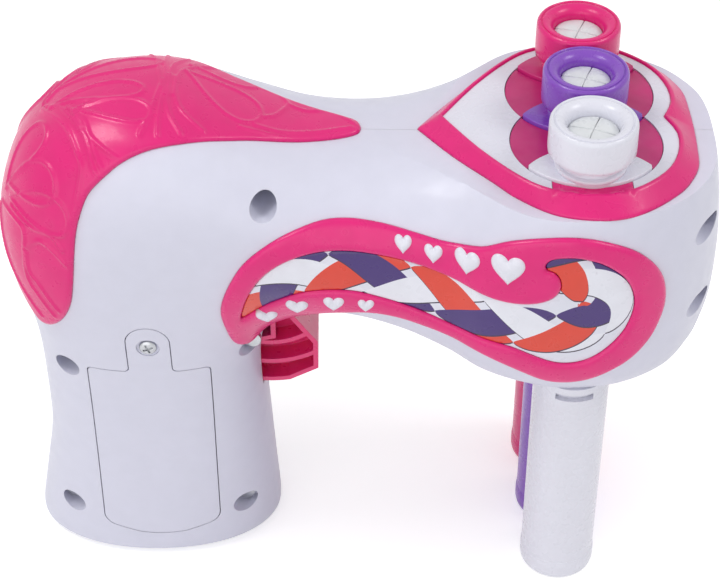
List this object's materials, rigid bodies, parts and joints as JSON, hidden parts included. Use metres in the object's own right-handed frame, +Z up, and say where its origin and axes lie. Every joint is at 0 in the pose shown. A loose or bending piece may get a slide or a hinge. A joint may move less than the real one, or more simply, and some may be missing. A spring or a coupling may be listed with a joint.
{
  "type": "automatic hair braider",
  "caption": "Pistol-grip toy hair braider whose trigger starts a motor that turns rotors and carries hair tubes round each other through a heart-shaped deck.",
  "frame": {"origin": "centre of the bounding box in X and Y, at the flat foot of the handle, which is level with the tubes' lower ends", "axes": "+X from the handle to the head with the three hair tubes, +Y to the side away from the battery door, +Z up"},
  "size_m": [0.2079, 0.093, 0.167],
  "materials": {
    "pink_gloss": "gloss moulded pink",
    "pink_mould": "satin moulded pink",
    "purple_gloss": "gloss moulded purple",
    "white_shell": "satin moulded white",
    "white_gloss": "gloss moulded white",
    "braid_print": "printed braid pattern under clear lacquer",
    "clear_white": "slit silicone, milky",
    "nylon": "natural nylon",
    "dark": "black plastic",
    "steel": "zinc plated",
    "brass": "turned"
  },
  "bodies": {
    "body": {"housing_right": "white_shell", "housing_left": "white_shell", "housing_screws": "steel", "back_cover": "pink_gloss", "side_trim_right": "pink_gloss", "side_trim_left": "pink_gloss", "braid_panel_right": "braid_print", "braid_panel_left": "braid_print", "heart_studs_right": "white_gloss", "heart_studs_left": "white_gloss", "heart_bezel": "pink_gloss", "deck_plate": "white_shell", "lower_guide": "nylon", "near_rotor": "pink_mould", "white_carrier": "white_gloss", "white_membrane": "clear_white", "white_tube": "white_gloss", "gear_plate": "nylon", "gear_axles": "steel", "near_drive_gear": "nylon", "motor": "steel", "trigger_pin": "steel", "trigger_spring": "steel", "power_switch": "dark", "battery_tray": "dark", "battery_contacts": "steel"},
    "far_set": {"far_rotor": "pink_mould", "pink_carrier": "pink_gloss", "pink_membrane": "clear_white", "pink_tube": "pink_gloss", "purple_carrier": "purple_gloss", "purple_membrane": "clear_white", "purple_tube": "purple_gloss"},
    "drive_gear": {"drive_gear": "nylon"},
    "reduction_gear": {"reduction_gear": "nylon"},
    "motor_pinion": {"motor_pinion": "brass"},
    "trigger": {"trigger": "pink_mould"},
    "plunger": {"switch_plunger": "purple_gloss"},
    "door": {"battery_door": "white_shell", "door_screw": "steel"}
  },
  "joints": [
    {"name": "far_set_spin", "type": "hinge", "parent": "body", "child": "far_set", "pos_m": [0.0623, 0.0122, 0.131], "axis": [0, 0, 1], "continuous": true},
    {"name": "drive_spin", "type": "hinge", "parent": "body", "child": "drive_gear", "pos_m": [0.0322, 0.0122, 0.131], "axis": [0, 0, 1], "continuous": true},
    {"name": "reduction_spin", "type": "hinge", "parent": "body", "child": "reduction_gear", "pos_m": [0.01689, 0.00722, 0.131], "axis": [0, 0, 1], "continuous": true},
    {"name": "pinion_spin", "type": "hinge", "parent": "body", "child": "motor_pinion", "pos_m": [0.00363, 0, 0.131], "axis": [0, 0, 1], "continuous": true},
    {"name": "trigger_pull", "type": "hinge", "parent": "body", "child": "trigger", "pos_m": [-0.0274, 0, 0.093], "axis": [0, 1, 0], "range_deg": [0, 6], "stiffness_Nm_per_rad": 0.08, "springref_deg": -6.88, "deforming": ["trigger_spring"]},
    {"name": "plunger_press", "type": "slide", "parent": "body", "child": "plunger", "axis": [-1, 0, 0], "range_m": [0, 0.00218]},
    {"name": "door_lift", "type": "slide", "parent": "body", "child": "door", "axis": [0, -1, 0], "range_m": [0, 0.04]}
  ],
  "couplings": [
    {"joint": "drive_spin", "follows": "far_set_spin", "ratio": -2},
    {"joint": "reduction_spin", "follows": "far_set_spin", "ratio": 3.3333},
    {"joint": "pinion_spin", "follows": "far_set_spin", "ratio": -13.333},
    {"joint": "plunger_press", "follows": "trigger_pull", "m_per_rad": 0.0205}
  ]
}
